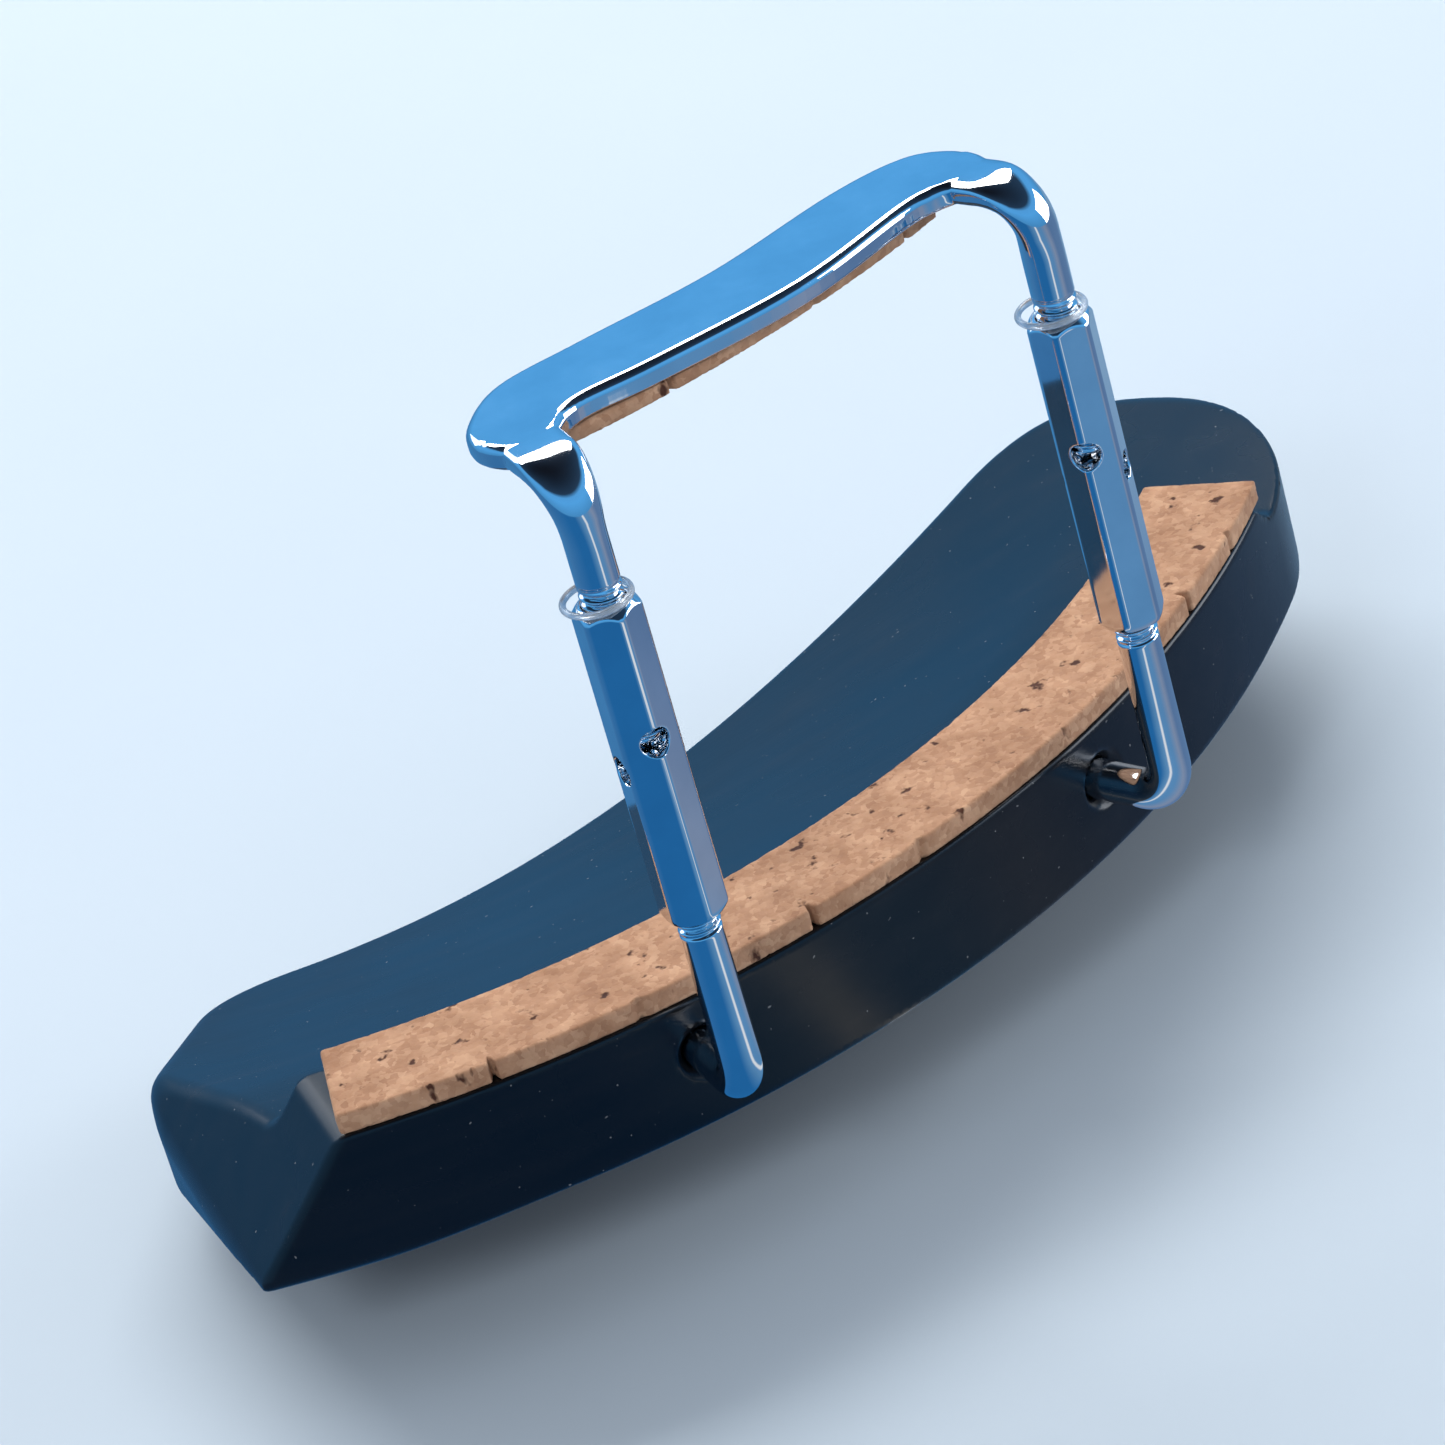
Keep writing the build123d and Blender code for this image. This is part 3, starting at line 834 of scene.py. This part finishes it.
def finish_surface(links, shader, colour, rough, normal):
    """Links what every material here has to its shader."""
    links.new(colour, shader.inputs["Base Color"])
    links.new(rough, shader.inputs["Roughness"])
    links.new(normal, shader.inputs["Normal"])


def chrome_material():
    """Polished plating with faint smears and hairlines."""
    material, nodes, links, coords, shader = new_material("chrome_plate")
    smear = noise_node(nodes, links, coords, scale=260, detail=3).outputs["Fac"]
    hairs = noise_node(nodes, links, coords, scale=900, detail=4, stretch=(1, 1, 0.08)).outputs["Fac"]
    tint = colour_ramp(nodes, links, smear, [(0.3, (0.74, 0.76, 0.79)), (0.7, (0.83, 0.84, 0.86))])
    rough = map_range(nodes, links, smear, (0.35, 0.75), (0.035, 0.095))
    normal = bump_node(nodes, links, [(hairs, 1.0)], strength=0.05, distance=0.00004)
    shader.inputs["Metallic"].default_value = 1.0
    finish_surface(links, shader, tint, rough, normal)
    return material


def ebony_material():
    """Near-black polished wood with grain and pores along X, a little wear and specks of dust."""
    material, nodes, links, coords, shader = new_material("ebony")
    grain = noise_node(nodes, links, coords, scale=420, detail=5, stretch=(0.05, 1, 1)).outputs["Fac"]
    pores = noise_node(
        nodes, links, coords, scale=1500, detail=3, stretch=(0.06, 1, 1), rough=0.7
    ).outputs["Fac"]
    wear = noise_node(nodes, links, coords, scale=60, detail=4).outputs["Fac"]
    dust = noise_node(nodes, links, coords, scale=2300, detail=1).outputs["Fac"]
    streak = colour_ramp(
        nodes, links, grain,
        [(0.3, (0.0030, 0.0028, 0.0034)), (0.62, (0.0062, 0.0054, 0.0056)), (0.8, (0.013, 0.0095, 0.0078))],
    )
    speck = colour_ramp(nodes, links, dust, [(0.77, (0, 0, 0)), (0.80, (0.16, 0.16, 0.16))])
    colour = mixed(nodes, links, "ADD", streak, speck)
    rough = map_range(nodes, links, wear, (0.3, 0.7), (0.20, 0.33))
    normal = bump_node(nodes, links, [(grain, 0.5), (pores, 0.5)], strength=0.12, distance=0.00012)
    finish_surface(links, shader, colour, rough, normal)
    shader.inputs["Specular IOR Level"].default_value = 0.4
    shader.inputs["Coat Weight"].default_value = 0.1
    shader.inputs["Coat Roughness"].default_value = 0.12
    return material


def cork_material():
    """Ragged tan granules in lighter and darker patches, with dark pores that are sunk in."""
    material, nodes, links, coords, shader = new_material("cork")
    # the granules' cells are looked up at places moved about by up to this many metres, for ragged edges
    raggedness = 0.0007
    ragged = noise_node(nodes, links, coords, scale=1700, detail=2).outputs["Color"]
    shifted = nodes.new("ShaderNodeVectorMath")
    shifted.operation = "MULTIPLY_ADD"
    shifted.inputs[1].default_value = (raggedness, raggedness, raggedness)
    links.new(ragged, shifted.inputs[0])
    links.new(coords.outputs["Object"], shifted.inputs[2])
    cells = nodes.new("ShaderNodeTexVoronoi")
    cells.inputs["Scale"].default_value = 2000
    links.new(shifted.outputs["Vector"], cells.inputs["Vector"])
    broad = noise_node(nodes, links, coords, scale=330, detail=4).outputs["Fac"]
    fine = noise_node(nodes, links, coords, scale=2600, detail=3).outputs["Fac"]
    pores = noise_node(nodes, links, coords, scale=620, detail=3, stretch=(1, 1, 0.55)).outputs["Fac"]
    granules = colour_ramp(
        nodes, links, cells.outputs["Color"],
        [(0.0, (0.38, 0.195, 0.112)), (0.5, (0.47, 0.26, 0.155)), (1.0, (0.56, 0.335, 0.21))],
    )
    patch = colour_ramp(nodes, links, broad, [(0.35, (0.80, 0.74, 0.68)), (0.65, (1.08, 1.08, 1.06))])
    hole = colour_ramp(nodes, links, pores, [(0.63, (1, 1, 1)), (0.69, (0.16, 0.08, 0.045))])
    colour = mixed(nodes, links, "MULTIPLY", mixed(nodes, links, "MULTIPLY", granules, patch), hole)
    pit = map_range(nodes, links, pores, (0.60, 0.72), (1.0, 0.0))
    heights = [(cells.outputs["Distance"], -0.5), (fine, 0.5), (pit, 0.8)]
    normal = bump_node(nodes, links, heights, strength=0.6, distance=0.0001)
    rough = map_range(nodes, links, fine, (0.3, 0.7), (0.78, 0.95))
    finish_surface(links, shader, colour, rough, normal)
    return material


def ring_material():
    """Clear plastic with a slight haze."""
    material, nodes, links, coords, shader = new_material("clear_ring")
    haze = noise_node(nodes, links, coords, scale=700, detail=3).outputs["Fac"]
    tint = colour_ramp(nodes, links, haze, [(0.3, (0.80, 0.82, 0.83)), (0.7, (0.93, 0.94, 0.94))])
    rough = map_range(nodes, links, haze, (0.3, 0.7), (0.08, 0.22))
    normal = bump_node(nodes, links, [(haze, 1.0)], strength=0.1, distance=0.00005)
    finish_surface(links, shader, tint, rough, normal)
    shader.inputs["Transmission Weight"].default_value = 0.75
    shader.inputs["IOR"].default_value = 1.47
    return material


# Painted reflection: colours that the floor glows with for glossy rays only, with a white stripe as a painted
# highlight stripe.
REFLECTED_FLOOR_BLUE = (0.054, 0.20, 0.44)
REFLECTED_FLOOR_DEEP = (0.017, 0.145, 0.39)
REFLECTED_WHITE_STRIPE = (0.80, 0.84, 0.88)
# painted reflection, glowing for glossy rays only: what chrome sees on the floor, by direction: 0 is -180
# degrees from +X, 0.5 is +X and 1 is 180 degrees
PAINTED_REFLECTION_SWEEP = [
    (0.0, REFLECTED_FLOOR_BLUE), (0.17, REFLECTED_FLOOR_DEEP), (0.24, REFLECTED_FLOOR_DEEP), (0.285, (0.10, 0.27, 0.50)),
    (0.303, (0.12, 0.30, 0.55)), (0.309, REFLECTED_WHITE_STRIPE), (0.319, REFLECTED_WHITE_STRIPE), (0.326, (0.11, 0.29, 0.54)),
    (0.36, (0.11, 0.28, 0.52)), (0.407, (0.23, 0.30, 0.44)), (0.451, (0.108, 0.204, 0.385)),
    (0.55, (0.12, 0.23, 0.42)), (0.61, (0.25, 0.42, 0.62)), (0.70, (0.06, 0.27, 0.56)), (1.0, REFLECTED_FLOOR_BLUE),
]


def floor_material():
    """Pale floor. For glossy rays only it glows as a painted reflection: a blue studio sweep with one white
    stripe as a painted highlight, and paler parts.
    """
    material, nodes, links, coords, shader = new_material("pale_floor")
    cloud = noise_node(nodes, links, coords, scale=9, detail=3).outputs["Fac"]
    tint = colour_ramp(nodes, links, cloud, [(0.3, (0.50, 0.585, 0.67)), (0.7, (0.525, 0.61, 0.695))])
    links.new(tint, shader.inputs["Base Color"])
    shader.inputs["Roughness"].default_value = 0.6
    shader.inputs["Specular IOR Level"].default_value = 0.2
    around = nodes.new("ShaderNodeTexGradient")
    around.gradient_type = "RADIAL"
    links.new(coords.outputs["Object"], around.inputs["Vector"])
    # painted reflection: an emission that only glossy rays see, mixed in by the light path below
    painted_reflection_glow = nodes.new("ShaderNodeEmission")
    links.new(colour_ramp(nodes, links, around.outputs["Fac"], PAINTED_REFLECTION_SWEEP), painted_reflection_glow.inputs["Color"])
    light_path = nodes.new("ShaderNodeLightPath")
    mix = nodes.new("ShaderNodeMixShader")
    links.new(light_path.outputs["Is Glossy Ray"], mix.inputs["Fac"])
    links.new(shader.outputs["BSDF"], mix.inputs[1])
    links.new(painted_reflection_glow.outputs["Emission"], mix.inputs[2])
    links.new(mix.outputs["Shader"], nodes["Material Output"].inputs["Surface"])
    return material


chrome = chrome_material()
ebony = ebony_material()
cork = cork_material()
clear = ring_material()

coarse = 1.0
PLATE_STEP = 0.36 * coarse
CORK_STEP = 0.2 * coarse
BARREL_STEP = 0.1 * coarse
BRACKET_STEP = 0.15 * coarse
PLATE_LOW = (-16.5, -87, -13)
PLATE_HIGH = (80.5, -4, 12.5)
CORK_ROOM = 0.8
CORK_EDGE_POINTS = 30
BARREL_REACH = 2.6
BARREL_ROOM = 0.3
LEG_REACH = 1.6
BRACKET_ROOM = (1.2, 1.2, 0.5)

mesh_piece(
    "chin_plate_body", [skin(plate_field, PLATE_LOW, PLATE_HIGH, PLATE_STEP)],
    ebony, "plate_side", ["chin_plate"],
)

# nicks in the corks' outer edges: direction, edge radius, depth and half width there
PLATE_NICKS = [
    (-83.2, 84.9, 1.0, 0.32), (-66.7, 84.9, 1.2, 0.30), (-60.3, 84.9, 0.4, 0.5),
    (-38.5, 84.9, 1.2, 0.30), (-33.0, 84.9, 0.4, 0.4), (-76.0, 84.9, 0.35, 0.6),
]
BRACKET_NICKS = [(-66.2, 84.7, 0.9, 0.28), (-51.9, 84.7, 0.9, 0.3), (-58.0, 84.7, 0.35, 0.5)]
for name, box, nicks, body, node, seed in (
    ("plate_cork_strip", PLATE_CORK, PLATE_NICKS, "plate_side", "plate_cork", 3),
    ("bracket_cork_strip", BRACKET_CORK, BRACKET_NICKS, "bracket_side", "bracket_cork", 11),
):
    inner_r, outer_r, start_a, end_a, low_z, high_z = box
    edge = [polar(r, a) for r in (inner_r, outer_r) for a in np.linspace(start_a, end_a, CORK_EDGE_POINTS)]
    low = (*(np.min(edge, 0) - CORK_ROOM), low_z - CORK_ROOM)
    high = (*(np.max(edge, 0) + CORK_ROOM), high_z + CORK_ROOM)
    points, quads, normals = skin(cork_field(box, nicks), low, high, CORK_STEP)
    mesh_piece(name, [(roughened(points, normals, seed), quads, None)], cork, body, [node])

for side, a, start in (("left", LEFT_A, 0.4), ("right", RIGHT_A, 2.2)):
    mesh_piece(f"{side}_post_rod", [post_shell(a)], chrome, "plate_side", [f"{side}_post"])
    mesh_piece(f"{side}_ring_loop", [ring_shell(a, start)], clear, f"{side}_ring", [f"{side}_ring"])

# one barrel, turned and set on each post
barrel_low_corner = (-BARREL_REACH, -BARREL_REACH, -BARREL_ROOM)
barrel_high_corner = (BARREL_REACH, BARREL_REACH, BARREL_L + BARREL_ROOM)
points, quads, normals = skin(barrel_field, barrel_low_corner, barrel_high_corner, BARREL_STEP)
for side, a, key_a in (("left", LEFT_A, LEFT_KEY_A), ("right", RIGHT_A, RIGHT_KEY_A)):
    c, s = cos(radians(key_a)), sin(radians(key_a))
    spin = np.array([[c, -s, 0], [s, c, 0], [0, 0, 1]])
    centre = np.array([*polar(POST_R, a), BARREL_Z])
    mesh_piece(
        f"{side}_barrel_nut", [(points @ spin.T + centre, quads, normals @ spin.T)],
        chrome, f"{side}_barrel", [f"{side}_barrel"],
    )

edge = [polar(r, a) for r, a in BRACKET_EDGE]
edge += [polar(POST_R + LEG_REACH, a) for a in (LEFT_A, RIGHT_A)]
low = np.array([*np.min(edge, 0), BARREL_TOP + EXPOSED_THREAD]) - BRACKET_ROOM
high = np.array([*np.max(edge, 0), BRACKET_Z + BRACKET_T]) + BRACKET_ROOM
foot_and_legs = skin(bracket_field, low, high, BRACKET_STEP)
mesh_piece(
    "bracket_forging", [foot_and_legs, leg_thread_shell(LEFT_A), leg_thread_shell(RIGHT_A)],
    chrome, "bracket_side", ["bracket"],
)

# ---------------------------------------------------------------- floor and light
FLOOR_HALF = 8.0
floor_corners = [(x * FLOOR_HALF, y * FLOOR_HALF, 0) for x, y in ((-1, -1), (1, -1), (1, 1), (-1, 1))]
floor_mesh = bpy.data.meshes.new("floor")
floor_mesh.from_pydata(floor_corners, [], [(0, 1, 2, 3)])
floor_mesh.materials.append(floor_material())
floor = bpy.data.objects.new("floor", floor_mesh)
bpy.context.scene.collection.objects.link(floor)


def area_light(name, place, target, size, power, colour):
    """A soft rectangular light at this place, in metres, that faces the target."""
    data = bpy.data.lights.new(name, "AREA")
    data.shape = "RECTANGLE"
    data.size, data.size_y = size
    data.energy = power
    data.color = colour
    lamp = bpy.data.objects.new(name, data)
    lamp.location = place
    lamp.rotation_mode = "QUATERNION"
    lamp.rotation_quaternion = (Vector(target) - Vector(place)).to_track_quat("-Z", "Y")
    bpy.context.scene.collection.objects.link(lamp)
    return lamp


WARM_WHITE = (1.0, 0.99, 0.97)
COOL_WHITE = (0.97, 0.98, 1.0)
SKY_WHITE = (0.93, 0.96, 1.0)
area_light("key", (-0.05, 0.56, 0.74), (0, 0, 0.03), size=(1.05, 0.38), power=8.5, colour=WARM_WHITE)
area_light("card", (0.88, 0.04, 0.27), (0, 0, 0.04), size=(0.72, 0.44), power=4.0, colour=COOL_WHITE)
area_light("side", (-0.46, 0.56, 0.42), (-0.03, 0, 0.06), size=(0.36, 0.34), power=0.55, colour=COOL_WHITE)
fill = area_light("fill", (-0.5, -1.0, 0.9), (0, 0, 0.03), size=(0.3, 0.3), power=4.0, colour=SKY_WHITE)
# the fill only lifts the shadows: nothing mirrors it
fill.visible_glossy = False

# what chrome sees above the floor, by the height of the direction: 0 is level and 1 is straight up
SKY = [
    (0.0, (0.07, 0.30, 0.62)), (0.40, (0.10, 0.43, 0.88)), (0.56, (0.10, 0.41, 0.84)),
    (0.66, (0.02, 0.05, 0.10)), (1.0, (0.006, 0.009, 0.016)),
]
ROOM_GREY = (0.44, 0.46, 0.49, 1)


def studio_world():
    """An even pale grey room for light, which gloss sees as a blue one that is dark overhead."""
    world = bpy.data.worlds.new("studio")
    world.use_nodes = True
    nodes, links = world.node_tree.nodes, world.node_tree.links
    coords = nodes.new("ShaderNodeTexCoord")
    split = nodes.new("ShaderNodeSeparateXYZ")
    links.new(coords.outputs["Generated"], split.inputs["Vector"])
    path = nodes.new("ShaderNodeLightPath")
    pick = nodes.new("ShaderNodeMix")
    pick.data_type = "RGBA"
    pick.inputs["A"].default_value = ROOM_GREY
    links.new(path.outputs["Is Glossy Ray"], pick.inputs["Factor"])
    links.new(colour_ramp(nodes, links, split.outputs["Z"], SKY), pick.inputs["B"])
    links.new(pick.outputs["Result"], nodes["Background"].inputs["Color"])
    return world


bpy.context.scene.world = studio_world()
bpy.context.scene.view_settings.view_transform = "Standard"

# ---------------------------------------------------------------- camera
# It stands where it stood over the violin, in drafting millimetres, and its picture's right is this way.
CAMERA_PLACE = np.array([14.88, -445.40, 240.11])
CAMERA_RIGHT = Vector((0.95328, -0.10181, -0.28442))
# the share of the picture that the part fills, from every so many of its points
FILL = 0.80
EVERY = 7
AIM_PASSES = 4
SENSOR = 36.0
CLIP_START = 0.01
place = Vector((CAMERA_PLACE + SHIFT) * MM)
rays = []
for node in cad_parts.values():
    rays += [node.matrix_world @ v.co - place for v in list(node.data.vertices)[::EVERY]]
aim = (cad_low + cad_high) / 2 - place
for _ in range(AIM_PASSES):
    forward = aim.normalized()
    right = (CAMERA_RIGHT - forward * CAMERA_RIGHT.dot(forward)).normalized()
    down = forward.cross(right)
    xs = [ray.dot(right) / ray.dot(forward) for ray in rays]
    ys = [ray.dot(down) / ray.dot(forward) for ray in rays]
    aim = forward + right * (min(xs) + max(xs)) / 2 + down * (min(ys) + max(ys)) / 2
spread = max(max(xs) - min(xs), max(ys) - min(ys))
camera_data = bpy.data.cameras.new("camera")
camera_data.sensor_width = SENSOR
camera_data.lens = SENSOR * FILL / spread
camera_data.clip_start = CLIP_START
camera = bpy.data.objects.new("camera", camera_data)
basis = Matrix((right, -down, -forward)).transposed()
camera.matrix_world = Matrix.Translation(place) @ basis.to_4x4()
bpy.context.scene.collection.objects.link(camera)
bpy.context.scene.camera = camera
